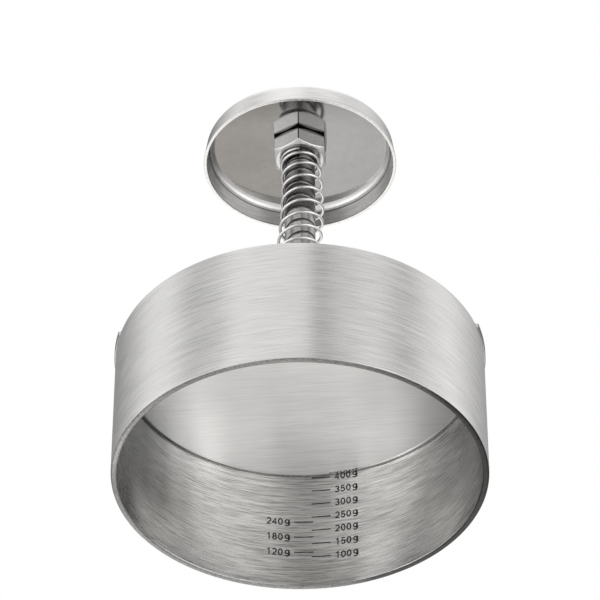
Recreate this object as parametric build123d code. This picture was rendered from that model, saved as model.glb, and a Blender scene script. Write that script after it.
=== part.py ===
from build123d import *
import math
import os

# Spring-loaded patty press, in millimetres.
# +Z is up. The origin is the centre of the mould ring's lower rim, where it stands on the board.
# The crossbar runs along X. At rest the press plate is up against the crossbar.

# Mould ring
ring_outer_radius = 57.5
ring_wall = 2.0
ring_height = 45.2
ring_rim_round = 0.6
ring_top_round = 0.4

# Crossbar, a flat strap welded across the top of the ring
crossbar_width = 32.0
crossbar_thickness = 1.6
crossbar_overhang = 0.4
crossbar_edge_round = 0.3

# Guide bush, set into the crossbar
bush_spigot_radius = 7.0
bush_collar_radius = 8.5
bush_collar_height = 16.0
bush_edge_chamfer = 0.5
rod_running_clearance = 0.05

# Press plate
plate_thickness = 1.6
plate_side_gap = 0.4
plate_edge_round = 0.3

# Press rod, welded to the plate
rod_radius = 5.0
rod_weld_leg = 0.9
rod_tip_chamfer = 0.8
rod_tip_gap = 0.4

# M10 thread shared by the rod and the nut, drawn as rings rather than as a helix
thread_pitch = 1.5
thread_depth = 0.92
thread_clearance = 0.06
thread_turns_below_nut = 2

# Hexagon nut, welded inside the handle
nut_bottom = 132.05
nut_across_flats = 16.5
nut_face_radius = 7.7
nut_chamfer_angle = 30.0
nut_turn = -1.5  # the plunger turns freely, so its hexagon rests at any angle

# Handle, a shallow pressed cup whose skirt leans inwards going up
handle_radius = 31.6
handle_rim = 129.6
handle_depth = 8.5
handle_sheet = 1.0
handle_lean = 8.0
handle_shoulder_radius = 3.2
handle_crown = 1.7
handle_rim_round = 0.15

# Spring, right-handed, with one nearly closed turn at each end
wire_radius = 0.5
spring_mean_radius = 6.6
spring_turns = 14
spring_end_pitch = 1.7
spring_closed_turns = 0.8
spring_ramp_turns = 0.8
spring_points_per_turn = 16
spring_end_angle = -90.0  # the top end of the wire faces -Y

# Worked out from the driving dimensions
ring_inner_radius = ring_outer_radius - ring_wall
crossbar_bottom = ring_height
crossbar_top = crossbar_bottom + crossbar_thickness
bush_top = crossbar_top + bush_collar_height
bush_bore_radius = rod_radius + rod_running_clearance
plate_top = crossbar_bottom
plate_bottom = plate_top - plate_thickness

handle_shoulder_top = handle_rim + handle_depth
handle_underside = handle_shoulder_top - handle_sheet
handle_bend = handle_shoulder_top - handle_shoulder_radius
lean = math.radians(handle_lean)
handle_bend_radius = handle_radius - (handle_bend - handle_rim) * math.tan(lean)
handle_flat_radius = handle_bend_radius - handle_shoulder_radius / math.cos(lean)
dome_radius = (handle_flat_radius**2 + handle_crown**2) / (2 * handle_crown)


def dome_height(radius, edge_height):
    """Height of the handle's shallow dome at a radius, where edge_height is its height at the shoulder."""
    centre = edge_height + handle_crown - dome_radius
    return centre + math.sqrt(dome_radius**2 - radius**2)


# The nut's upper face meets the underside of the dome at the edge of its chamfer.
nut_top = dome_height(nut_face_radius, handle_underside)
nut_corner_radius = nut_across_flats / math.sqrt(3)
rod_tip = nut_top - rod_tip_gap

thread_root_flat = thread_pitch / 4
thread_crest_flat = thread_pitch / 8
thread_flank = (thread_pitch - thread_root_flat - thread_crest_flat) / 2
last_root = rod_tip - rod_tip_chamfer
first_root_in_nut = last_root - thread_pitch * math.floor((last_root - nut_bottom) / thread_pitch)
first_root_on_rod = first_root_in_nut - thread_turns_below_nut * thread_pitch
threads_in_nut = round((last_root - first_root_in_nut) / thread_pitch)


def ring_solid(inner_radius, outer_radius, bottom, top):
    """A plain round tube standing on the plane z = bottom."""
    height = top - bottom
    outer = Cylinder(outer_radius, height)
    inner = Cylinder(inner_radius, 2 * height)
    return Pos(0, 0, bottom + height / 2) * (outer - inner)


def disc(radius, bottom, top):
    """A plain round disc between two heights."""
    height = top - bottom
    return Pos(0, 0, bottom + height / 2) * Cylinder(radius, height)


def turned(points):
    """A solid of revolution about Z from a closed outline of (radius, height) points."""
    outline = make_face(Polyline(*points, close=True))
    return revolve(Plane.XZ * outline, Axis.Z)


def thread_outline(crest_radius, first_root, turns):
    """Outline points of a thread drawn as rings, from its lowest root to its highest."""
    root_radius = crest_radius - thread_depth
    points = []
    for turn in range(turns):
        root = first_root + turn * thread_pitch
        flank_start = root + thread_root_flat
        crest = flank_start + thread_flank
        points.append((root_radius, root))
        points.append((root_radius, flank_start))
        points.append((crest_radius, crest))
        points.append((crest_radius, crest + thread_crest_flat))
    points.append((root_radius, first_root + turns * thread_pitch))
    return points


def mould_ring():
    ring = ring_solid(ring_inner_radius, ring_outer_radius, 0, ring_height)
    lower_rim = ring.edges().filter_by(GeomType.CIRCLE).group_by(Axis.Z)[0]
    ring = fillet(lower_rim, ring_rim_round)
    top_rim = ring.edges().filter_by(GeomType.CIRCLE).group_by(Axis.Z)[-1]
    return fillet(top_rim, ring_top_round)


def crossbar():
    end_radius = ring_outer_radius + crossbar_overhang
    strap = Box(2 * end_radius, crossbar_width, crossbar_thickness)
    strap = Pos(0, 0, crossbar_bottom + crossbar_thickness / 2) * strap
    strap = strap & disc(end_radius, crossbar_bottom, crossbar_top)
    top_edges = strap.faces().sort_by(Axis.Z)[-1].edges()
    strap = fillet(top_edges, crossbar_edge_round)
    return strap - disc(bush_spigot_radius, crossbar_bottom, crossbar_top)


def guide_bush():
    spigot = disc(bush_spigot_radius, crossbar_bottom, crossbar_top)
    collar = disc(bush_collar_radius, crossbar_top, bush_top)
    collar_rim = collar.edges().filter_by(GeomType.CIRCLE).sort_by(Axis.Z)[-1]
    bush = spigot + chamfer(collar_rim, bush_edge_chamfer)
    bush -= disc(bush_bore_radius, crossbar_bottom, bush_top)
    # The bore's lower mouth is opened out to clear the weld at the foot of the rod.
    mouth_depth = rod_weld_leg + 2 * rod_running_clearance
    mouth = turned([
        (0, crossbar_bottom),
        (bush_bore_radius + mouth_depth, crossbar_bottom),
        (bush_bore_radius, crossbar_bottom + mouth_depth),
        (0, crossbar_bottom + mouth_depth),
    ])
    return bush - mouth


def press_plate():
    plate = disc(ring_inner_radius - plate_side_gap, plate_bottom, plate_top)
    return fillet(plate.edges().filter_by(GeomType.CIRCLE), plate_edge_round)


def press_rod():
    root_radius = rod_radius - thread_depth
    half_chamfer = rod_tip_chamfer / 2
    outline = [(0, plate_top)]
    outline.append((rod_radius + rod_weld_leg, plate_top))
    outline.append((rod_radius, plate_top + rod_weld_leg))
    outline.append((rod_radius, first_root_on_rod - thread_flank))
    outline += thread_outline(rod_radius, first_root_on_rod, threads_in_nut + thread_turns_below_nut)
    outline.append((root_radius, rod_tip - half_chamfer))
    outline.append((root_radius - half_chamfer, rod_tip))
    outline.append((0, rod_tip))
    return turned(outline)


def handle_nut():
    chamfer_height = (nut_corner_radius - nut_face_radius) * math.tan(math.radians(nut_chamfer_angle))
    hexagon = extrude(RegularPolygon(nut_corner_radius, 6), nut_top - nut_bottom)
    hexagon = Pos(0, 0, nut_bottom) * Rot(0, 0, nut_turn - 90) * hexagon
    turned_blank = turned([
        (0, nut_bottom),
        (nut_face_radius, nut_bottom),
        (nut_corner_radius, nut_bottom + chamfer_height),
        (nut_corner_radius, nut_top - chamfer_height),
        (nut_face_radius, nut_top),
        (0, nut_top),
    ])
    # The bore has a plain mouth up to its first thread, and the thread runs out of the top.
    crest_radius = rod_radius + thread_clearance
    bore = [(0, nut_bottom - thread_pitch)]
    bore.append((crest_radius, nut_bottom - thread_pitch))
    bore.append((crest_radius, first_root_in_nut - thread_flank))
    bore += thread_outline(crest_radius, first_root_in_nut, threads_in_nut + 1)
    bore.append((0, bore[-1][1]))
    return (hexagon & turned_blank) - turned(bore)


def dome_arc(edge_height):
    """Half of the dome's section, from the axis out to the shoulder."""
    middle_radius = handle_flat_radius / 2
    centre = (0, dome_height(0, edge_height))
    middle = (middle_radius, dome_height(middle_radius, edge_height))
    return ThreePointArc(centre, middle, (handle_flat_radius, edge_height))


def shoulder_point(radius, angle):
    """A point on a circle about the centre of the handle's shoulder, with the angle taken from +X."""
    return (handle_flat_radius + radius * math.cos(angle), handle_bend + radius * math.sin(angle))


def shoulder_arc(radius):
    """Bend from the dome's edge down to the top of the leaning skirt."""
    middle = (lean + math.pi / 2) / 2
    return ThreePointArc(
        shoulder_point(radius, math.pi / 2), shoulder_point(radius, middle), shoulder_point(radius, lean))


def handle_cap():
    inner_radius = handle_radius - handle_sheet / math.cos(lean)
    inner_shoulder = handle_shoulder_radius - handle_sheet
    section = [
        dome_arc(handle_shoulder_top),
        shoulder_arc(handle_shoulder_radius),
        Line(shoulder_point(handle_shoulder_radius, lean), (handle_radius, handle_rim)),
        Line((handle_radius, handle_rim), (inner_radius, handle_rim)),
        Line((inner_radius, handle_rim), shoulder_point(inner_shoulder, lean)),
        shoulder_arc(inner_shoulder),
        dome_arc(handle_underside),
        Line((0, dome_height(0, handle_underside)), (0, dome_height(0, handle_shoulder_top))),
    ]
    cup = revolve(Plane.XZ * make_face(section), Axis.Z)
    rim_edges = cup.edges().filter_by(GeomType.CIRCLE).group_by(Axis.Z)[0]
    return fillet(rim_edges, handle_rim_round)


def turns_below_end(turn, full_pitch):
    """How far the wire has dropped after a number of turns from a spring end."""
    ramp_start = spring_closed_turns
    ramp_end = ramp_start + spring_ramp_turns
    if turn <= ramp_start:
        return spring_end_pitch * turn
    extra = full_pitch - spring_end_pitch
    if turn <= ramp_end:
        in_ramp = turn - ramp_start
        return spring_end_pitch * turn + extra * in_ramp**2 / (2 * spring_ramp_turns)
    return spring_end_pitch * turn + extra * (turn - ramp_start - spring_ramp_turns / 2)


def spring():
    top = nut_bottom - wire_radius
    bottom = bush_top + wire_radius
    slow_turns = 2 * (spring_closed_turns + spring_ramp_turns / 2)
    full_pitch = (top - bottom - slow_turns * spring_end_pitch) / (spring_turns - slow_turns)
    steps = spring_turns * spring_points_per_turn
    points = []
    for step in range(steps + 1):
        turn = step / spring_points_per_turn
        if turn <= spring_turns / 2:
            height = top - turns_below_end(turn, full_pitch)
        else:
            height = bottom + turns_below_end(spring_turns - turn, full_pitch)
        angle = math.radians(spring_end_angle) - 2 * math.pi * turn
        points.append((spring_mean_radius * math.cos(angle), spring_mean_radius * math.sin(angle), height))
    path = Spline(*points)
    section = Plane(origin=path @ 0, z_dir=path % 0) * Circle(wire_radius)
    return sweep(section, path, is_frenet=True)


parts = {
    "mould_ring": mould_ring,
    "crossbar": crossbar,
    "guide_bush": guide_bush,
    "press_plate": press_plate,
    "press_rod": press_rod,
    "spring": spring,
    "handle_nut": handle_nut,
    "handle_cap": handle_cap,
}

os.makedirs("parts", exist_ok=True)
for name, build in parts.items():
    export_step(build(), f"parts/{name}.step")
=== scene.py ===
"""Looks for the spring-loaded patty press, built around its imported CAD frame. Lengths are in metres."""

import math

import bmesh
import bpy
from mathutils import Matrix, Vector


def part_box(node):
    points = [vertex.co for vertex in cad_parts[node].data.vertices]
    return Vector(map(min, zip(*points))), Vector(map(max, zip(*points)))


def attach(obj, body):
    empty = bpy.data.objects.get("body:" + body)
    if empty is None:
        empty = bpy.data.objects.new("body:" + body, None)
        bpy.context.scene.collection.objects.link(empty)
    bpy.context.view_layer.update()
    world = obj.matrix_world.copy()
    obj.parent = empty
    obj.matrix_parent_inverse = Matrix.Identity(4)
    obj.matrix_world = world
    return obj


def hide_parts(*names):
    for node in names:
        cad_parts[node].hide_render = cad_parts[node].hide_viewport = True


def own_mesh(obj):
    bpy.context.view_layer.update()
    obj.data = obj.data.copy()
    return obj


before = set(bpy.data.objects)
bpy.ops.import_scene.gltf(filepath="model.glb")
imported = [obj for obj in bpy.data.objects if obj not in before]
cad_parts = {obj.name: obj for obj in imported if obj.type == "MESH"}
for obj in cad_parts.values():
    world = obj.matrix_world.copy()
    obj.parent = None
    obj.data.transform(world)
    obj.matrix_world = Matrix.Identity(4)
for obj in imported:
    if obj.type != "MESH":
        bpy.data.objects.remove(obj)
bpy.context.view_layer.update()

MM = 0.001
TURN = 2 * math.pi

# ---------------------------------------------------------------- places and sizes, from the frame

ring_low, ring_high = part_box("mould_ring")
bar_low, bar_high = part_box("crossbar")
bush_low, bush_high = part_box("guide_bush")
plate_low, plate_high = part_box("press_plate")
rod_low, rod_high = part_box("press_rod")
spring_low, spring_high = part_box("spring")
nut_low, nut_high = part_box("handle_nut")
cap_low, cap_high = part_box("handle_cap")

RING_RADIUS = ring_high.x
RING_WALL = 2.0 * MM
RING_RIM_ROUND = 0.6 * MM
RING_TOP_ROUND = 0.4 * MM
BAR_END_RADIUS = bar_high.x
BAR_HALF_WIDTH = bar_high.y
BUSH_SPIGOT_RADIUS = 7.0 * MM
BUSH_COLLAR_RADIUS = bush_high.x
BUSH_BORE_RADIUS = 5.05 * MM
BUSH_MOUTH = 1.0 * MM  # chamfer at the bore's lower end
PLATE_RADIUS = plate_high.x
PLATE_ROUND = 0.3 * MM
PLATE_GLINT_BAND = 0.7 * MM  # width of the painted highlight band beside the lower edge
ROD_RADIUS = 5.0 * MM
ROD_WELD = 0.9 * MM  # radius of the fillet at the rod's foot
THREAD_PITCH = 1.5 * MM
THREAD_DEPTH = 0.92 * MM
THREAD_LENGTH = 8.5 * MM
WIRE_RADIUS = 0.5 * MM
SPRING_END_RADIUS = 6.15 * MM  # of the wire's centre line
SPRING_BELLY = 0.6 * MM  # added to the coil's radius at half height
SPRING_TURNS = 14
SPRING_END_PITCH = 1.7 * MM
SPRING_CLOSED_TURNS = 0.8  # at each end
SPRING_RAMP_TURNS = 0.8  # over which the pitch opens up
SPRING_BOW = 0.9 * MM  # how far the coil leans off the rod
NUT_APOTHEM = 8.25 * MM  # centre to flat
NUT_FACE_RADIUS = 7.7 * MM  # of the round end faces
NUT_CHAMFER_SLOPE = math.tan(math.radians(30))
NUT_TURN = math.radians(-1.5)
CAP_RADIUS = cap_high.x
CAP_SHEET = 1.0 * MM
CAP_LEAN = math.radians(8)  # of the skirt, outwards
CAP_SHOULDER = 3.2 * MM  # outer radius of the bend
CAP_CROWN = 1.7 * MM  # rise of the top
CAP_RIM_ROUND = 0.15 * MM

# ---------------------------------------------------------------- mesh helpers


def finished_mesh(bm, name):
    """Turns the faces outwards and makes the mesh."""
    bmesh.ops.recalc_face_normals(bm, faces=bm.faces)
    mesh = bpy.data.meshes.new(name)
    bm.to_mesh(mesh)
    bm.free()
    return mesh


def new_piece(mesh, body, slot, *nodes):
    """Links a finished mesh as a piece of the same name, which rides on a body and stands for CAD nodes."""
    piece = bpy.data.objects.new(mesh.name, mesh)
    bpy.context.scene.collection.objects.link(piece)
    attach(piece, body)
    if nodes:
        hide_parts(*nodes)
    return piece


def paint(piece, materials, finish_at):
    """Gives a piece its materials, and each face the one that finish_at(centre, normal, reach) returns.

    reach is the distance of the face's centre from the Z axis."""
    for material in materials:
        piece.data.materials.append(material)
    for face in piece.data.polygons:
        reach = math.hypot(face.center.x, face.center.y)
        face.material_index = materials.index(finish_at(face.center, face.normal, reach))


def arc(centre_r, centre_z, radius, start, end, steps=6):
    """(radius, height) points on a circular arc, with angles in degrees from +r towards +z."""
    points = []
    for step in range(steps + 1):
        angle = math.radians(start + (end - start) * step / steps)
        points.append((centre_r + radius * math.cos(angle), centre_z + radius * math.sin(angle)))
    return points


def straight(start, end, steps):
    """Points spaced evenly between two outline points, without the two ends."""
    inner = []
    for step in range(1, steps):
        share = step / steps
        inner.append((start[0] + (end[0] - start[0]) * share, start[1] + (end[1] - start[1]) * share))
    return inner


def swept_mesh(name, outline_at, angles, closed):
    """A mesh turned about Z. outline_at(angle) gives (radius, height) points, the same count each time.

    A closed outline is a loop. An open one starts and ends on the axis and is capped there with fans."""
    bm = bmesh.new()
    rows = []
    for angle in angles:
        row = []
        for radius, height in outline_at(angle):
            row.append(bm.verts.new((radius * math.cos(angle), radius * math.sin(angle), height)))
        rows.append(row)
    count = len(rows[0])
    spans = count if closed else count - 1
    for i, row in enumerate(rows):
        following = rows[(i + 1) % len(rows)]
        for j in range(spans):
            k = (j + 1) % count
            bm.faces.new((row[j], following[j], following[k], row[k]))
    if not closed:
        for j in (0, count - 1):
            centre = bm.verts.new((0, 0, rows[0][j].co.z))
            for i, row in enumerate(rows):
                following = rows[(i + 1) % len(rows)]
                bm.faces.new((row[j], following[j], centre))
    return finished_mesh(bm, name)


def smooth(mesh, sharp_degrees=30):
    """Smooth shading, with edges sharper than an angle left crisp."""
    mesh.polygons.foreach_set("use_smooth", [True] * len(mesh.polygons))
    mesh.set_sharp_from_angle(angle=math.radians(sharp_degrees))
    return mesh


def even_angles(count):
    return [TURN * i / count for i in range(count)]


def lathe(name, outline, closed, segments):
    """A mesh of revolution about Z from one outline."""
    return smooth(swept_mesh(name, lambda angle: outline, even_angles(segments), closed))


def bevelled(piece, width, angle):
    """Rounds a piece's crisp edges, keeps its flat faces flat to the light, and applies both to its mesh."""
    rounding = piece.modifiers.new("edge_round", "BEVEL")
    rounding.width = width
    rounding.segments = 3
    rounding.limit_method = "ANGLE"
    rounding.angle_limit = math.radians(angle)
    for shading in (False, True):
        if shading:
            smooth(piece.data, 35)
            piece.modifiers.new("flat_faces", "WEIGHTED_NORMAL").keep_sharp = True
        graph = bpy.context.evaluated_depsgraph_get()
        piece.data = bpy.data.meshes.new_from_object(piece.evaluated_get(graph))
        piece.modifiers.clear()
    return piece


# ---------------------------------------------------------------- materials


class Nodes:
    """Short names for building a node tree."""

    def __init__(self, tree):
        self.tree = tree
        tree.nodes.clear()

    def add(self, kind, **settings):
        node = self.tree.nodes.new(kind)
        for key, value in settings.items():
            setattr(node, key, value)
        return node

    def link(self, source, target):
        self.tree.links.new(source, target)

    def feed(self, socket, value):
        """Sets a socket to a number, or links it to another node's output."""
        if isinstance(value, bpy.types.NodeSocket):
            self.link(value, socket)
        else:
            socket.default_value = value

    def math(self, operation, *values):
        node = self.add("ShaderNodeMath", operation=operation)
        for socket, value in zip(node.inputs, values):
            self.feed(socket, value)
        return node.outputs[0]

    def vector(self, operation, *values):
        node = self.add("ShaderNodeVectorMath", operation=operation)
        for socket, value in zip(node.inputs, values):
            self.feed(socket, value)
        return node.outputs[0]

    def remap(self, value, low, high, to_low, to_high, kind="LINEAR"):
        node = self.add("ShaderNodeMapRange", interpolation_type=kind)
        for index, part in enumerate((value, low, high, to_low, to_high)):
            self.feed(node.inputs[index], part)
        return node.outputs[0]

    def noise(self, vector, scale, detail=3.0, rough=0.5):
        node = self.add("ShaderNodeTexNoise")
        self.feed(node.inputs["Vector"], vector)
        node.inputs["Scale"].default_value = scale
        node.inputs["Detail"].default_value = detail
        node.inputs["Roughness"].default_value = rough
        return node.outputs[0]

    def rotated(self, vector, axis, angle):
        node = self.add("ShaderNodeVectorRotate", rotation_type=axis)
        self.link(vector, node.inputs["Vector"])
        node.inputs["Angle"].default_value = angle
        return node.outputs[0]

    def xyz(self, vector):
        """The three parts of a vector."""
        node = self.add("ShaderNodeSeparateXYZ")
        self.link(vector, node.inputs[0])
        return node.outputs

    def ramp(self, share, stops, span):
        """Colour as a smooth function of a share of a span, which has 0 at its middle.

        Stops are (where on the span, brightness, optional tint)."""
        node = self.add("ShaderNodeValToRGB")
        self.link(share, node.inputs[0])
        ramp = node.color_ramp
        ramp.interpolation = "EASE"
        while len(ramp.elements) < len(stops):
            ramp.elements.new(0.5)
        for element, (where, value, *tint) in zip(ramp.elements, stops):
            red, green, blue = tint[0] if tint else (1, 1, 1)
            element.position = 0.5 + where / span
            element.color = (value * red, value * green, value * blue, 1)
        return node.outputs[0]

    def mix_value(self, factor, first, second):
        node = self.add("ShaderNodeMix")
        for index, part in zip((0, 2, 3), (factor, first, second)):
            self.feed(node.inputs[index], part)
        return node.outputs[0]

    def mix_colour(self, factor, first, second):
        node = self.add("ShaderNodeMix", data_type="RGBA")
        for index, part in zip((0, 6, 7), (factor, first, second)):
            self.feed(node.inputs[index], part)
        return node.outputs[2]


def tone_along(axis, low, high, start, end):
    """A change of tone along an axis, between two places on it. 0 is X, 1 is Y and 2 is Z."""
    return lambda n, place: n.remap(n.xyz(place)[axis], low, high, start, end, "SMOOTHSTEP")


def tone_across(axis, *stops):
    """A change of tone along an axis, from stops of (millimetres from the middle, up to 60, tone)."""
    half = 60

    def tone(n, place):
        share = n.remap(n.xyz(place)[axis], -half * MM, half * MM, 0.0, 1.0)
        return n.ramp(share, stops, 2 * half)

    return tone


def tone_mixed(axis, low, high, first, second):
    """One tone that changes into another along an axis, between two places on it."""
    share = tone_along(axis, low, high, 0.0, 1.0)
    return lambda n, place: n.mix_value(share(n, place), first(n, place), second(n, place))


def tone_around(*stops):
    """A change of tone around Z, from stops of (degrees from +Y towards +X, tone)."""

    def tone(n, place):
        across, along, _ = n.xyz(place)
        angle = n.math("ARCTAN2", across, along)
        return n.ramp(n.remap(angle, -math.pi, math.pi, 0.0, 1.0), stops, 360)

    return tone


def tone_beyond(shift, radius, start, end):
    """A change of tone outside a circle around Z whose centre is shifted along Y."""

    def tone(n, place):
        across, along, _ = n.xyz(place)
        along = n.math("SUBTRACT", along, shift)
        squares = n.math("ADD", n.math("MULTIPLY", across, across), n.math("MULTIPLY", along, along))
        soft = 0.5 * MM
        return n.remap(n.math("SQRT", squares), radius - soft, radius + soft, start, end, "SMOOTHSTEP")

    return tone


def brush_lines(n, place, length, width, around):
    """Brush lines as a pattern of about 0.3 to 0.7: fine lines, two crossing sets and broader bands."""

    def lines(angle, stretch, detail):
        turned = n.rotated(place, "Y_AXIS" if around else "Z_AXIS", math.radians(angle))
        along, across = 1 / (length * stretch), 1 / (width * stretch)
        scale = (along, along, across) if around else (along, across, across)
        return n.noise(n.vector("MULTIPLY", turned, scale), 1.0, detail, 0.6)

    fine = lines(0, 1.0, 2.0)
    crossing = n.math("ADD", lines(7, 0.8, 1.0), lines(-5, 0.9, 1.0))
    broad = lines(1.5, 4.0, 2.0)
    mixed = n.math("ADD", n.math("MULTIPLY", fine, 0.46), n.math("MULTIPLY", crossing, 0.22))
    return n.math("ADD", mixed, n.math("MULTIPLY", broad, 0.1))


def principled(name):
    """A new material, its nodes and its shader."""
    material = bpy.data.materials.new(name)
    material.use_nodes = True
    n = Nodes(material.node_tree)
    output = n.add("ShaderNodeOutputMaterial")
    shader = n.add("ShaderNodeBsdfPrincipled")
    n.link(shader.outputs[0], output.inputs[0])
    return material, n, shader


STEEL_TINT = (1.0, 0.99, 0.975)


def steel(name, colour, roughness, grain=(3 * MM, 3 * MM), turn=0.0, anisotropy=0.0, contrast=0.06,
          relief=0.2, around=True, blotch=0.03, painted_crevice_shade=0.0, painted_tones=()):
    """Stainless steel with brush lines.

    grain is (length along the brushing, width of a line) in metres. The lines run around Z, or along X
    turned by an angle. The highlight spreads across the lines, as it does on brushed metal. The occlusion
    strength darkens the colour where other surfaces are near: painted shade in creases and corners. The
    tone list holds further changes of tone, all of them painted light and shade, such as the painted shade
    below the nut's top or the painted reflections inside the ring."""
    length, width = grain
    material, n, shader = principled(name)
    place = n.add("ShaderNodeTexCoord").outputs["Object"]
    if turn:
        place = n.rotated(place, "Z_AXIS", turn)
    brush = brush_lines(n, place, length, width, around)
    soft = n.noise(place, 60.0, 2.0, 0.5)
    shade = n.remap(brush, 0.4, 0.6, 1 - contrast, 1 + contrast)
    shade = n.math("MULTIPLY", shade, n.remap(soft, 0.3, 0.7, 1 - blotch, 1 + blotch))
    # Ambient occlusion darkens the colour near other surfaces: painted shade in creases and corners.
    if painted_crevice_shade:
        reach = n.add("ShaderNodeAmbientOcclusion", samples=8)
        reach.inputs["Distance"].default_value = 3 * MM
        shade = n.math("MULTIPLY", shade, n.remap(reach.outputs["AO"], 0.2, 0.9, 1 - painted_crevice_shade, 1.0))
    # Painted light and shade: each tone lightens or darkens the colour where light and reflections fall.
    for tone in painted_tones:
        shade = n.math("MULTIPLY", shade, tone(n, place))
    shaded = n.add("ShaderNodeVectorMath", operation="SCALE")
    shaded.inputs[0].default_value = [colour * part for part in STEEL_TINT]
    n.link(shade, shaded.inputs["Scale"])
    n.link(shaded.outputs[0], shader.inputs["Base Color"])
    shader.inputs["Metallic"].default_value = 1.0
    n.feed(shader.inputs["Roughness"], n.remap(brush, 0.4, 0.6, roughness * 0.85, roughness * 1.15))
    if anisotropy:
        shader.inputs["Anisotropic"].default_value = anisotropy
        if around:
            tangent = n.add("ShaderNodeTangent", direction_type="RADIAL", axis="Z").outputs[0]
            shader.inputs["Anisotropic Rotation"].default_value = 0.25
        else:
            across = n.add("ShaderNodeVectorTransform", vector_type="VECTOR")
            across.convert_from, across.convert_to = "OBJECT", "WORLD"
            across.inputs[0].default_value = (math.sin(turn), math.cos(turn), 0)
            tangent = across.outputs[0]
        n.link(tangent, shader.inputs["Tangent"])
    bump = n.add("ShaderNodeBump")
    bump.inputs["Strength"].default_value = relief
    bump.inputs["Distance"].default_value = 0.02 * MM
    n.feed(bump.inputs["Height"], brush)
    n.link(bump.outputs[0], shader.inputs["Normal"])
    return material


def print_ink():
    """Dark grey ink of the scale, slightly worn."""
    material, n, shader = principled("scale_ink")
    place = n.add("ShaderNodeTexCoord").outputs["Object"]
    wear_and_painted_shade = n.noise(place, 2500.0, 3.0, 0.6)
    level = n.remap(wear_and_painted_shade, 0.3, 0.7, 0.006, 0.025)
    grey = n.add("ShaderNodeCombineColor")
    for socket in grey.inputs[:3]:
        n.link(level, socket)
    n.link(grey.outputs[0], shader.inputs["Base Color"])
    shader.inputs["Roughness"].default_value = 0.6
    return material


# ---------------------------------------------------------------- mould ring


def mould_ring():
    """The open ring. It is brushed on both sides and ground on its two rims."""
    outer, inner = RING_RADIUS, RING_RADIUS - RING_WALL
    low, high, r, t = ring_low.z, ring_high.z, RING_RIM_ROUND, RING_TOP_ROUND
    outline = arc(outer - r, low + r, r, -90, 0)
    outline += straight((outer, low + r), (outer, high - t), 12)
    outline += arc(outer - t, high - t, t, 0, 90)
    outline += arc(inner + t, high - t, t, 90, 180)
    outline += straight((inner, high - t), (inner, low + r), 12)
    outline += arc(inner + r, low + r, r, 180, 270)
    mesh = lathe("mould_ring_band", outline, closed=True, segments=360)
    ring = new_piece(mesh, "mould", "ring_steel", "mould_ring")
    outside = steel("ring_outside", 0.69, 0.3, (14 * MM, 0.28 * MM), anisotropy=0.85, contrast=0.14)
    # Painted reflections and shade: the inner wall is lighter and darker by angle around Z, one way near the
    # lower rim and another higher up. Occlusion adds painted shade in its corners.
    near_rim = tone_around(
        (-105, 1.8), (-90, 0.5), (-76, 0.33), (-62, 1.15), (-45, 1.85), (-24, 1.6), (-15, 1.23), (0, 0.8),
        (14, 1.05), (25, 1.85), (46, 1.85), (58, 1.35), (70, 1.05), (90, 0.6), (105, 1.8),
    )
    far_up = tone_around(
        (-105, 1.6), (-88, 0.25), (-76, 0.17), (-65, 0.31), (-55, 0.57), (-45, 1.08), (-35, 1.52),
        (-24, 1.26), (-15, 1.17), (0, 0.93), (15, 1.14), (26, 1.2), (36, 1.4), (45, 1.02), (55, 0.75),
        (70, 0.48), (88, 0.4), (105, 1.6),
    )
    change_from, change_to = low + 2 * MM, low + 22 * MM
    painted_reflections_inside = tone_mixed(2, change_from, change_to, near_rim, far_up)
    inside = steel("ring_inside", 0.54, 0.27, (10 * MM, 0.18 * MM), anisotropy=0.7, contrast=0.5, relief=0.35,
                   painted_crevice_shade=0.15, painted_tones=(painted_reflections_inside,))
    # Painted shade and highlight on the rims: their colour is lighter and darker by angle around Z, as the
    # reflections on them are.
    wear_and_painted_shade = tone_around(
        (-180, 0.52), (-165, 0.5), (-150, 0.42), (-135, 0.54), (-105, 0.75), (-88, 0.52), (-60, 0.6),
        (0, 0.6), (12, 0.48), (24, 0.18), (60, 0.14), (100, 0.1), (125, 0.09), (145, 0.24), (165, 0.42),
        (180, 0.52),
    )
    rim = steel("ring_rim", 0.5, 0.35, (0.8 * MM, 0.8 * MM), contrast=0.3, painted_tones=(wear_and_painted_shade,))

    def finish_at(centre, normal, reach):
        if centre.z - low < r * 0.6 or high - centre.z < t * 0.6:
            return rim
        return inside if reach < outer - RING_WALL / 2 else outside

    paint(ring, (outside, inside, rim), finish_at)


# ---------------------------------------------------------------- crossbar and guide bush


def crossbar():
    """The strap across the ring's top, with round ends and a hole for the bush."""
    corner = math.asin(BAR_HALF_WIDTH / BAR_END_RADIUS)
    corners = [corner, math.pi - corner, math.pi + corner, TURN - corner]
    angles = sorted(set(even_angles(240)) | set(corners))

    def outline_at(angle):
        reach = BAR_END_RADIUS
        if abs(math.sin(angle)) > 1e-9:
            reach = min(reach, BAR_HALF_WIDTH / abs(math.sin(angle)))
        hole = BUSH_SPIGOT_RADIUS
        return [(hole, bar_low.z), (reach, bar_low.z), (reach, bar_high.z), (hole, bar_high.z)]

    mesh = smooth(swept_mesh("crossbar_strap", outline_at, angles, True))
    bar = new_piece(mesh, "mould", "crossbar_steel", "crossbar")
    bevelled(bar, 0.2 * MM, 25)
    face = steel("crossbar_face", 0.68, 0.32, (14 * MM, 0.4 * MM), anisotropy=0.8, contrast=0.12,
                 around=False)
    # The strap's end faces have a rougher cut finish and a dark colour; the dark colour is painted shade.
    edge = steel("crossbar_cut_end_painted_shade", 0.25, 0.5, (1 * MM, 0.2 * MM), contrast=0.2)
    end_band = 0.4 * MM

    def finish_at(centre, normal, reach):
        return edge if reach > BAR_END_RADIUS - end_band and normal.z < 0.7 else face

    paint(bar, (face, edge), finish_at)


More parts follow.
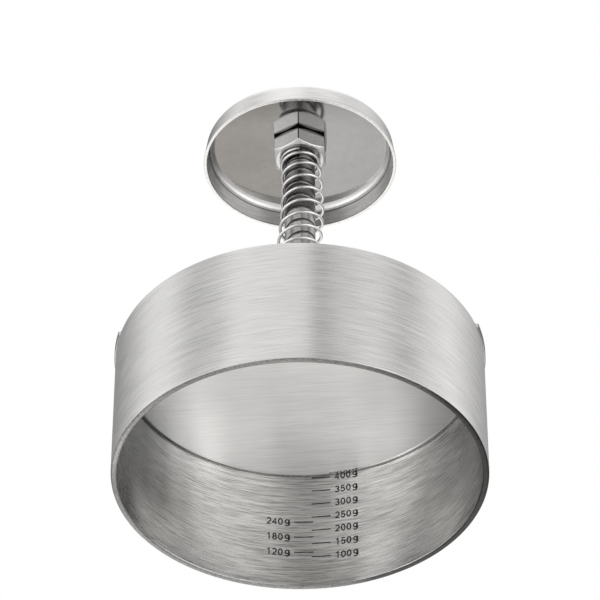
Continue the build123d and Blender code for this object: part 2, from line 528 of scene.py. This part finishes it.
def guide_bush():
    """The sleeve that guides the rod: a spigot through the crossbar and a collar on top of it."""
    bore, spigot, collar = BUSH_BORE_RADIUS, BUSH_SPIGOT_RADIUS, BUSH_COLLAR_RADIUS
    low, seat, top = bush_low.z, bar_high.z, bush_high.z
    edge, lip = 0.5 * MM, 0.2 * MM
    outline = [(bore + BUSH_MOUTH, low), (spigot, low), (spigot, seat), (collar, seat)]
    outline += arc(collar - edge, top - edge, edge, 0, 90, 5)
    outline += [(bore + lip, top), (bore, top - lip), (bore, low + BUSH_MOUTH)]
    mesh = lathe("guide_bush_sleeve", outline, closed=True, segments=160)
    bush = new_piece(mesh, "mould", "bush_steel", "guide_bush")
    turned = steel("bush_steel", 0.66, 0.25, (6 * MM, 0.2 * MM), anisotropy=0.5, contrast=0.1)
    bush.data.materials.append(turned)


# ---------------------------------------------------------------- press plate and rod


def press_plate():
    """The flat disc in the ring, with a painted highlight band along part of its lower edge."""
    radius, r = PLATE_RADIUS, PLATE_ROUND
    low, high = plate_low.z, plate_high.z
    hub = 0.5 * MM
    outline = [(hub, high)]
    outline += straight(outline[0], (radius - r, high), 8)
    outline += arc(radius - r, high - r, r, 90, 0)
    outline += arc(radius - r, low + r, r, 0, -90)
    outline.append((radius - r - PLATE_GLINT_BAND, low))
    outline += straight(outline[-1], (hub, low), 8)
    outline.append((hub, low))
    mesh = lathe("press_plate_disc", outline, closed=False, segments=360)
    plate = new_piece(mesh, "plunger", "plate_steel", "press_plate")
    # Painted light and shade on the plate: lighter at the left, darker towards the right and towards the
    # front. Occlusion adds painted shade beside the ring's wall.
    painted_shade_across = tone_across(0, (-52, 1.2), (-38, 1.05), (-24, 0.86), (-12, 0.92), (0, 1.0), (12, 0.96),
                           (24, 0.8), (40, 0.59))
    painted_shade_front = tone_along(1, 6 * MM, 38 * MM, 0.86, 1.02)
    face = steel("plate_steel", 0.98, 0.45, (18 * MM, 0.3 * MM), turn=math.radians(4), anisotropy=0.86,
                 contrast=0.09, around=False, painted_crevice_shade=0.3, painted_tones=(painted_shade_across, painted_shade_front))
    # Painted shade: the plate's rounded edge is darker towards the left.
    edge_painted_shade = tone_along(0, -48 * MM, -10 * MM, 0.3, 1.0)
    edge = steel("plate_edge", 1.0, 0.2, (4 * MM, 0.3 * MM), contrast=0.1, painted_tones=(edge_painted_shade,))
    # A brighter, glossier band under the right part of the edge: a painted highlight, weaker towards the
    # middle.
    glint_start = 8 * MM
    glint_fade = tone_along(0, glint_start, 36 * MM, 0.7, 1.0)
    glint_band = steel("plate_painted_glint", 1.0, 0.15, (4 * MM, 0.3 * MM), contrast=0.1, painted_tones=(glint_fade,))

    def finish_at(centre, normal, reach):
        if reach > radius - r:
            return edge
        underneath = centre.z < (low + high) / 2
        return glint_band if underneath and reach > radius - r - PLATE_GLINT_BAND and centre.x > glint_start else face

    paint(plate, (face, edge, glint_band), finish_at)


def thread_depth_at(phase):
    """Depth of the thread form, from 0 at its crest to 1 at its root, for a phase from 0 to 1."""
    crest, root = 0.125, 0.25
    flank = (1 - crest - root) / 2
    from_crest = abs(phase - 0.5)
    return min(1.0, max(0.0, (from_crest - crest / 2) / flank))


def press_rod():
    """The polished rod, with a weld fillet at its foot and a helical thread at its top."""
    top = rod_high.z
    thread_start = top - THREAD_LENGTH
    tip_radius, tip_slope = ROD_RADIUS - THREAD_DEPTH * 1.2, 1.6
    heights = [rod_low.z, rod_low.z + ROD_WELD * 0.3, rod_low.z + ROD_WELD * 0.6, rod_low.z + ROD_WELD]
    heights += [z for _, z in straight((0, heights[-1]), (0, thread_start), 24)]
    steps = 110
    heights += [thread_start + THREAD_LENGTH * i / steps for i in range(steps + 1)]

    def outline_at(angle):
        outline = []
        for z in heights:
            radius = ROD_RADIUS
            foot = 1 - (z - rod_low.z) / ROD_WELD
            if foot > 0:
                radius += ROD_WELD * (1 - math.sqrt(1 - foot * foot)) if foot < 1 else ROD_WELD
            if z > thread_start:
                fade = min(1.0, (z - thread_start) / THREAD_PITCH)
                phase = (z / THREAD_PITCH - angle / TURN) % 1.0
                radius -= THREAD_DEPTH * fade * thread_depth_at(phase)
                radius = min(radius, tip_radius + (top - z) * tip_slope)
            outline.append((radius, z))
        return outline

    mesh = smooth(swept_mesh("press_rod_shaft", outline_at, even_angles(144), False), 40)
    rod = new_piece(mesh, "plunger", "rod_steel", "press_rod")
    # Strong occlusion darkens the rod inside the spring and under the nut: painted shade.
    polished = steel("rod_steel", 0.42, 0.08, (5 * MM, 0.3 * MM), anisotropy=0.3, contrast=0.08, relief=0.1,
                     painted_crevice_shade=0.65)
    rod.data.materials.append(polished)


# ---------------------------------------------------------------- spring


def spring_drop(turn, pitch):
    """How far the wire has dropped after a number of turns from a spring end."""
    ramp_start, ramp = SPRING_CLOSED_TURNS, SPRING_RAMP_TURNS
    extra = pitch - SPRING_END_PITCH
    if turn <= ramp_start:
        return SPRING_END_PITCH * turn
    if turn <= ramp_start + ramp:
        return SPRING_END_PITCH * turn + extra * (turn - ramp_start) ** 2 / (2 * ramp)
    return SPRING_END_PITCH * turn + extra * (turn - ramp_start - ramp / 2)


def spring_point(turn, pitch):
    """Centre of the wire, with turn counted down from the top end.

    The coil is barrelled, and it leans off the rod to one side and then the other, as a long spring does."""
    top, bottom = spring_high.z - WIRE_RADIUS, spring_low.z + WIRE_RADIUS
    if turn <= SPRING_TURNS / 2:
        z = top - spring_drop(turn, pitch)
    else:
        z = bottom + spring_drop(SPRING_TURNS - turn, pitch)
    angle = -math.pi / 2 - TURN * turn
    share = (top - z) / (top - bottom)
    radius = SPRING_END_RADIUS + SPRING_BELLY * math.sin(math.pi * share)
    bow = SPRING_BOW * math.sin(TURN * share)
    return Vector((radius * math.cos(angle) + bow, radius * math.sin(angle), z))


def wire_mesh(name, path, sides=16, end_taper=0.82):
    """Round wire along a path that winds round Z. Its two ends are a little thinner."""
    last = len(path) - 1
    bm = bmesh.new()
    loops = []
    for i, centre in enumerate(path):
        along = (path[min(i + 1, last)] - path[max(i - 1, 0)]).normalized()
        outward = Vector((centre.x, centre.y, 0)).normalized()
        outward = (outward - along * outward.dot(along)).normalized()
        upward = along.cross(outward)
        taper = end_taper if i in (0, last) else 1.0
        loop = []
        for side in range(sides):
            angle = TURN * side / sides
            offset = outward * math.cos(angle) + upward * math.sin(angle)
            loop.append(bm.verts.new(centre + offset * WIRE_RADIUS * taper))
        loops.append(loop)
    for first, second in zip(loops, loops[1:]):
        for side in range(sides):
            k = (side + 1) % sides
            bm.faces.new((first[side], first[k], second[k], second[side]))
    bm.faces.new(loops[0])
    bm.faces.new(loops[-1])
    return smooth(finished_mesh(bm, name), 50)


def spring():
    """The coil of round wire, which shortens with the press stroke."""
    slow = 2 * (SPRING_CLOSED_TURNS + SPRING_RAMP_TURNS / 2)
    full = spring_high.z - spring_low.z
    pitch = (full - 2 * WIRE_RADIUS - slow * SPRING_END_PITCH) / (SPRING_TURNS - slow)
    steps = SPRING_TURNS * 72
    path = [spring_point(i * SPRING_TURNS / steps, pitch) for i in range(steps + 1)]
    coil = new_piece(wire_mesh("return_spring_coil", path), "return_spring", "spring_wire", "spring")
    # Occlusion darkens the wire where the coils and the rod crowd it: painted shade.
    coil.data.materials.append(steel("spring_wire", 0.82, 0.12, (1 * MM, 1 * MM), relief=0.05, painted_crevice_shade=0.5))
    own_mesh(coil)


# ---------------------------------------------------------------- handle nut and cap


def handle_nut():
    """The hexagon nut, chamfered at both ends, with a corner towards -Y."""
    sixth = TURN / 6
    clearance, lead = 0.06 * MM, 0.5 * MM
    bore = ROD_RADIUS + clearance
    low, high = nut_low.z, nut_high.z

    def outline_at(angle):
        from_corner = (angle - NUT_TURN + math.pi / 2) % sixth
        reach = NUT_APOTHEM / math.cos(from_corner - sixth / 2)
        drop = (reach - NUT_FACE_RADIUS) * NUT_CHAMFER_SLOPE
        return [
            (bore, low + lead), (bore + lead, low), (NUT_FACE_RADIUS, low), (reach, low + drop),
            (reach, high - drop), (NUT_FACE_RADIUS, high), (bore + lead, high), (bore, high - lead),
        ]

    angles = [NUT_TURN - math.pi / 2 + angle for angle in even_angles(144)]
    mesh = smooth(swept_mesh("handle_nut_hexagon", outline_at, angles, True), 20)
    nut = new_piece(mesh, "plunger", "nut_steel", "handle_nut")
    bevelled(nut, 0.22 * MM, 22)
    top_painted_shade = (tone_along(2, high - 1.8 * MM, high - 1.0 * MM, 1.0, 0.3),)  # painted shade: darker towards the nut's top, under the handle
    flats = steel("nut_steel", 1.0, 0.18, (3 * MM, 0.35 * MM), contrast=0.12, relief=0.1, painted_tones=top_painted_shade)
    # A darker copy of the nut's steel for the flats that face +X: painted shade.
    shaded_flat = steel("nut_flat_painted_shade", 0.58, 0.22, (3 * MM, 0.35 * MM), contrast=0.15, relief=0.1, painted_tones=top_painted_shade)
    # Occlusion darkens the end faces next to the rod and spring: painted shade.
    end = steel("nut_end_face", 0.8, 0.3, (2 * MM, 0.3 * MM), contrast=0.06, painted_crevice_shade=0.6)
    # Near black for the top chamfer and the corner faces towards -Y: painted shade.
    painted_dark = steel("nut_painted_dark", 0.08, 0.4, contrast=0.2)

    def finish_at(centre, normal, reach):
        if normal.z < -0.4:
            return end
        on_top_chamfer, at_front_corner = normal.z > 0.4, normal.y < -0.93
        if on_top_chamfer or at_front_corner:
            return painted_dark
        return shaded_flat if normal.x > 0.3 and normal.y < 0 else flats

    paint(nut, (flats, shaded_flat, end, painted_dark), finish_at)


def dome(radius, edge_height, steps):
    """Half of the handle's shallow dome, from its edge in to the axis."""
    ball = (radius * radius + CAP_CROWN * CAP_CROWN) / (2 * CAP_CROWN)
    centre = edge_height + CAP_CROWN - ball
    points = []
    for step in range(1, steps):
        r = radius * (1 - step / steps)
        points.append((r, centre + math.sqrt(ball * ball - r * r)))
    return points


def cap_places():
    """Height and radius of the shoulder's centre, and the inner radius at the skirt's foot."""
    bend = cap_high.z - CAP_CROWN - CAP_SHOULDER
    flat = CAP_RADIUS - (bend - cap_low.z) * math.tan(CAP_LEAN) - CAP_SHOULDER / math.cos(CAP_LEAN)
    inner = CAP_RADIUS - CAP_SHEET / math.cos(CAP_LEAN)
    return bend, flat, inner


def cap_outline():
    """The cup's outline, from the middle of its top over the skirt's rim to the middle underneath."""
    bend, flat, inner = cap_places()
    low, r, lean = cap_low.z, CAP_RIM_ROUND, math.degrees(CAP_LEAN)
    edge = 90 - math.degrees(2 * CAP_CROWN / flat)
    outer_arc = arc(flat, bend, CAP_SHOULDER, edge, lean, 16)
    inner_arc = arc(flat, bend, CAP_SHOULDER - CAP_SHEET, lean, edge, 16)
    outer_foot = (CAP_RADIUS - r * math.tan(CAP_LEAN), low + r)
    inner_foot = (inner - r * math.tan(CAP_LEAN), low + r)
    outline = list(reversed(dome(*outer_arc[0], 24)))
    outline += outer_arc
    outline += straight(outer_arc[-1], outer_foot, 4)
    outline += arc(outer_foot[0] - r, low + r, r, 0, -90)
    outline += arc(inner_foot[0] + r, low + r, r, -90, -180)
    outline += straight(inner_foot, inner_arc[0], 4)
    outline += inner_arc
    outline += dome(*inner_arc[-1], 24)
    return outline


def handle_cap():
    """The handle: a shallow cup of sheet, with a low crown, a round shoulder and a leaning skirt."""
    bend, flat, inner = cap_places()
    low = cap_low.z
    mesh = lathe("handle_cap_cup", cap_outline(), closed=False, segments=320)
    cap = new_piece(mesh, "plunger", "handle_steel", "handle_cap")
    # Painted reflections on the handle's outside: its colour is lighter and darker by angle around Z.
    outside_painted_reflection = tone_around((-180, 1.0), (-145, 0.92), (-125, 0.68), (-105, 0.4), (0, 0.6), (95, 0.5), (122, 0.76),
                       (150, 0.94), (180, 1.0))
    outside = steel("handle_outside", 0.79, 0.38, (9 * MM, 0.25 * MM), anisotropy=0.5, contrast=0.12,
                    painted_tones=(outside_painted_reflection,))
    top_face = steel("handle_top", 0.76, 0.34, (16 * MM, 0.3 * MM), anisotropy=0.8, contrast=0.1,
                     around=False)
    # Painted light on the skirt's inside: lighter and darker by angle around Z as its reflections are, with
    # painted shade near the skirt's foot and under the bend.
    inside_painted_reflection = tone_around((-180, 0.8), (-90, 0.4), (-74, 0.7), (-52, 1.0), (-33, 0.9), (-20, 0.68), (0, 0.56),
                        (12, 0.45), (22, 0.56), (33, 0.9), (52, 1.0), (64, 0.8), (90, 0.8), (180, 0.8))
    foot = tone_along(2, low + 0.1 * MM, low + 0.7 * MM, 0.35, 1.0)
    bend_painted_shade = tone_along(2, bend - 0.6 * MM, bend, 1.0, 0.4)
    inside = steel("handle_inside", 1.0, 0.55, (7 * MM, 0.25 * MM), contrast=0.22, painted_tones=(inside_painted_reflection, foot, bend_painted_shade))
    shadow = tone_along(1, -26 * MM, -8 * MM, 0.7, 1.0)
    # Painted reflection: the underside is lighter outside a circle shifted towards -Y, a bright crescent
    # beside the bend.
    crescent_shift, crescent_from = -6.4 * MM, inner + 1.1 * MM
    crescent_painted_reflection = tone_beyond(crescent_shift, crescent_from, 1.0, 1.65)
    under_face = steel("handle_underside", 0.325, 0.09, contrast=0.03, relief=0.02, blotch=0.05,
                       painted_tones=(shadow, crescent_painted_reflection))
    rim = steel("handle_rim", 0.85, 0.3, (1 * MM, 1 * MM), contrast=0.1)
    # Painted highlight: the inner bend is a bright copy of the sheet's steel, a white band, lighter and
    # darker by angle around Z.
    bend_painted_reflection = tone_around((-180, 0.6), (-84, 0.3), (-58, 0.85), (-30, 1.0), (30, 1.0), (62, 0.9), (85, 0.6),
                        (180, 0.6))
    bend_painted_highlight = steel("handle_bend", 1.0, 0.36, (7 * MM, 0.3 * MM), contrast=0.05, relief=0.05,
                      painted_tones=(bend_painted_reflection,))
    mirror_edge = flat + 0.4 * MM

    def finish_at(centre, normal, reach):
        if centre.z - low < CAP_RIM_ROUND * 0.8:
            return rim
        if centre.z > bend and normal.z < 0:
            return under_face if reach < mirror_edge else bend_painted_highlight
        if centre.z > bend and reach < flat + CAP_SHOULDER * 0.7:
            return top_face
        middle = CAP_RADIUS - CAP_SHEET / 2 - (centre.z - low) * math.tan(CAP_LEAN)
        return inside if centre.z < bend and reach < middle else outside

    paint(cap, (outside, inside, under_face, rim, bend_painted_highlight, top_face), finish_at)


# ---------------------------------------------------------------- printed gram scale


SCALE_TURN = math.radians(-2.0)
INK_DEPTH = 0.02 * MM
TICK_THICKNESS = 0.38 * MM
DIGIT_HEIGHT = 2.5 * MM
DIGIT_WIDTH = 1.4 * MM
DIGIT_STEP = 1.86 * MM
UNIT_STEP = 2.2 * MM
STROKE = 0.42 * MM
LABEL_GAP = 1.55 * MM


def oval(x, y, rx, ry, start, end, steps=10):
    """Points on an oval in the unit box of a letter, with angles in degrees from +X."""
    return [(x + rx * a, y + ry * b) for a, b in arc(0, 0, 1, start, end, steps)]


def glyph(letter):
    """The strokes of a plain sans-serif digit or unit letter, in a box of 1 by 1."""
    if letter == "0":
        return [oval(0.5, 0.5, 0.42, 0.46, 90, 450, 20)]
    if letter == "1":
        return [[(0.2, 0.74), (0.58, 0.97), (0.58, 0.0)]]
    if letter == "2":
        return [oval(0.5, 0.68, 0.4, 0.28, 165, -35) + [(0.08, 0.05), (0.95, 0.05)]]
    if letter == "3":
        return [oval(0.48, 0.73, 0.36, 0.22, 160, -90) + oval(0.48, 0.27, 0.42, 0.24, 90, -160)]
    if letter == "4":
        return [[(0.72, 0.0), (0.72, 0.95), (0.06, 0.3), (0.98, 0.3)]]
    if letter == "5":
        return [[(0.9, 0.95), (0.24, 0.95), (0.16, 0.48)] + oval(0.48, 0.32, 0.42, 0.28, 130, -155)]
    if letter == "8":
        return [oval(0.5, 0.74, 0.34, 0.22, -90, 270, 16), oval(0.5, 0.27, 0.42, 0.24, 90, 450, 16)]
    if letter == "g":
        tail = [(0.9, 0.86), (0.9, 0.06)] + oval(0.48, 0.06, 0.42, 0.2, 0, -165)
        return [oval(0.48, 0.54, 0.42, 0.28, 0, 360, 16), tail]
    raise ValueError(letter)


def ink_stroke(bm, points, thickness):
    """A thin flat band of ink along points in X and Z, with mitred corners."""
    rows = []
    for i, point in enumerate(points):
        here = Vector(point)
        before = (here - Vector(points[i - 1])).normalized() if i else None
        after = (Vector(points[i + 1]) - here).normalized() if i + 1 < len(points) else None
        before = before or after
        after = after or before
        side = Vector((-before.y - after.y, before.x + after.x)).normalized()
        width = thickness / 2 / max(0.5, side.dot(Vector((-after.y, after.x))))
        left, right = here + side * width, here - side * width
        corners = ((left, -INK_DEPTH), (left, INK_DEPTH), (right, INK_DEPTH), (right, -INK_DEPTH))
        rows.append([bm.verts.new((flat.x, depth, flat.y)) for flat, depth in corners])
    for first, second in zip(rows, rows[1:]):
        for i in range(4):
            k = (i + 1) % 4
            bm.faces.new((first[i], first[k], second[k], second[i]))
    bm.faces.new(rows[0])
    bm.faces.new(rows[-1])


def scale_label(bm, weight, left, height):
    """A weight and its unit, from its left edge, centred on a height."""
    step = left
    for letter in f"{weight}g":
        if letter == "g":
            step += UNIT_STEP - DIGIT_STEP
        for stroke in glyph(letter):
            placed = [(step + x * DIGIT_WIDTH, height + (y - 0.5) * DIGIT_HEIGHT) for x, y in stroke]
            ink_stroke(bm, placed, STROKE)
        step += DIGIT_STEP


def gram_scale():
    """Two columns of ticks with their weights, printed on the far inner wall."""
    wall = RING_RADIUS - RING_WALL
    label_width = 2 * DIGIT_STEP + UNIT_STEP + DIGIT_WIDTH
    columns = (
        # weights, height of 0 g, height per gram, tick from, tick to, label on the right
        (range(100, 401, 50), 0.93 * MM, 0.1049 * MM, 3.75 * MM, 9.85 * MM, True),
        (range(120, 241, 60), 1.19 * MM, 0.1002 * MM, -1.85 * MM, 4.3 * MM, False),
    )
    bm = bmesh.new()
    for weights, zero, per_gram, left, right, label_right in columns:
        for weight in weights:
            height = zero + weight * per_gram
            tick = [(left + (right - left) * i / 6, height) for i in range(7)]
            ink_stroke(bm, tick, TICK_THICKNESS)
            start = right + LABEL_GAP if label_right else left - LABEL_GAP - label_width
            scale_label(bm, weight, start, height)
    for vertex in bm.verts:
        across, depth, height = vertex.co
        angle = across / wall + SCALE_TURN
        radius = wall - INK_DEPTH + depth
        vertex.co = (radius * math.sin(angle), radius * math.cos(angle), height)
    scale = new_piece(finished_mesh(bm, "gram_scale_print"), "mould", "ring_steel")
    scale.data.materials.append(print_ink())


# ---------------------------------------------------------------- stage, light and camera


def floor():
    """A plain pale floor that is seen from above only, because the camera looks up from below it."""
    size, gap = 4.0, 0.05 * MM
    mesh = bpy.data.meshes.new("floor")
    corners = [(-size, -size, 0), (size, -size, 0), (size, size, 0), (-size, size, 0)]
    mesh.from_pydata(corners, [], [(0, 1, 2, 3)])
    plane = bpy.data.objects.new("floor", mesh)
    plane.location.z = ring_low.z - gap
    bpy.context.scene.collection.objects.link(plane)
    material = bpy.data.materials.new("floor")
    material.use_nodes = True
    n = Nodes(material.node_tree)
    output = n.add("ShaderNodeOutputMaterial")
    matt = n.add("ShaderNodeBsdfDiffuse")
    matt.inputs["Color"].default_value = (0.86, 0.86, 0.86, 1)
    clear = n.add("ShaderNodeBsdfTransparent")
    mix = n.add("ShaderNodeMixShader")
    n.link(n.add("ShaderNodeNewGeometry").outputs["Backfacing"], mix.inputs[0])
    n.link(matt.outputs[0], mix.inputs[1])
    n.link(clear.outputs[0], mix.inputs[2])
    n.link(mix.outputs[0], output.inputs[0])
    mesh.materials.append(material)
    for ray in ("diffuse", "glossy", "transmission", "shadow"):
        setattr(plane, f"visible_{ray}", False)


# Brightness of the studio by azimuth in degrees, where 0 is behind the camera and 90 is towards +X. One set
# of stops is for directions above the horizon and one for those below. WARM tints the light behind the press.
WARM = (1.04, 0.985, 0.93)
STUDIO_ABOVE = (
    (-180, 0.28), (-145, 0.29), (-122, 0.63), (-100, 1.08), (-84, 1.04), (-66, 0.5), (-52, 0.69), (-36, 1.04),
    (-20, 1.0), (4, 0.97), (14, 0.48), (28, 0.71), (50, 0.87), (70, 0.49), (86, 0.86), (103, 1.15),
    (125, 0.82), (145, 0.48), (180, 0.3),
)
STUDIO_BELOW = (
    (-180, 1.3), (-160, 1.22), (-148, 0.45), (-112, 0.6), (-84, 1.2), (-60, 1.5), (-30, 1.12), (-8, 0.42),
    (8, 0.36), (30, 1.12), (60, 1.6), (84, 1.2), (112, 0.5), (150, 0.3), (166, 0.95, WARM), (180, 0.95, WARM),
)
# Brightness straight up and straight down.
STUDIO_TOP = 1.5
STUDIO_DOWN = 1.0


def studio():
    """White to the camera. For reflections and light, a pale tent with soft darker gaps."""
    world = bpy.data.worlds.new("studio")
    bpy.context.scene.world = world
    world.use_nodes = True
    n = Nodes(world.node_tree)
    output = n.add("ShaderNodeOutputWorld")
    east, north, rise = n.xyz(n.add("ShaderNodeTexCoord").outputs["Generated"])
    azimuth = n.math("ARCTAN2", east, n.math("MULTIPLY", north, -1.0))
    turn_share = n.remap(azimuth, -math.pi, math.pi, 0.0, 1.0)
    above = n.ramp(turn_share, STUDIO_ABOVE, 360)
    below = n.ramp(turn_share, STUDIO_BELOW, 360)
    # The rise of a direction is 1 straight up, 0 level and -1 straight down.
    upward = n.remap(rise, 0.0, 0.35, 0.0, 1.0, "SMOOTHSTEP")
    steep_up = n.remap(rise, 0.84, 0.95, 0.0, 1.0, "SMOOTHSTEP")
    steep_down = n.remap(rise, -0.97, -0.87, 1.0, 0.0, "SMOOTHSTEP")
    upper = n.mix_colour(steep_up, above, (STUDIO_TOP, STUDIO_TOP, STUDIO_TOP, 1))
    lower = n.mix_colour(steep_down, below, (STUDIO_DOWN, STUDIO_DOWN, STUDIO_DOWN, 1))
    light = n.add("ShaderNodeBackground")
    n.link(n.mix_colour(upward, lower, upper), light.inputs["Color"])
    white = n.add("ShaderNodeBackground")
    white.inputs["Color"].default_value = (1, 1, 1, 1)
    mix = n.add("ShaderNodeMixShader")
    n.link(n.add("ShaderNodeLightPath").outputs["Is Camera Ray"], mix.inputs[0])
    n.link(light.outputs[0], mix.inputs[1])
    n.link(white.outputs[0], mix.inputs[2])
    n.link(mix.outputs[0], output.inputs[0])


def camera():
    """Looks up at the press from below and in front, with a long lens."""
    azimuth, pitch, distance = math.radians(2.0), math.radians(40.47), 1.0859
    aim = Vector((0, 0, 71.54 * MM))
    level = math.cos(pitch)
    sight = Vector((-math.sin(azimuth) * level, math.cos(azimuth) * level, math.sin(pitch)))
    data = bpy.data.cameras.new("camera")
    data.sensor_width = 36
    data.lens = 205.4
    data.clip_start = 0.05
    cam = bpy.data.objects.new("camera", data)
    bpy.context.scene.collection.objects.link(cam)
    cam.location = aim - sight * distance
    cam.rotation_mode = "QUATERNION"
    cam.rotation_quaternion = sight.to_track_quat("-Z", "Y")
    bpy.context.scene.camera = cam


mould_ring()
crossbar()
guide_bush()
press_plate()
press_rod()
spring()
handle_nut()
handle_cap()
gram_scale()
floor()
studio()
camera()
bpy.context.scene.view_settings.view_transform = "Standard"
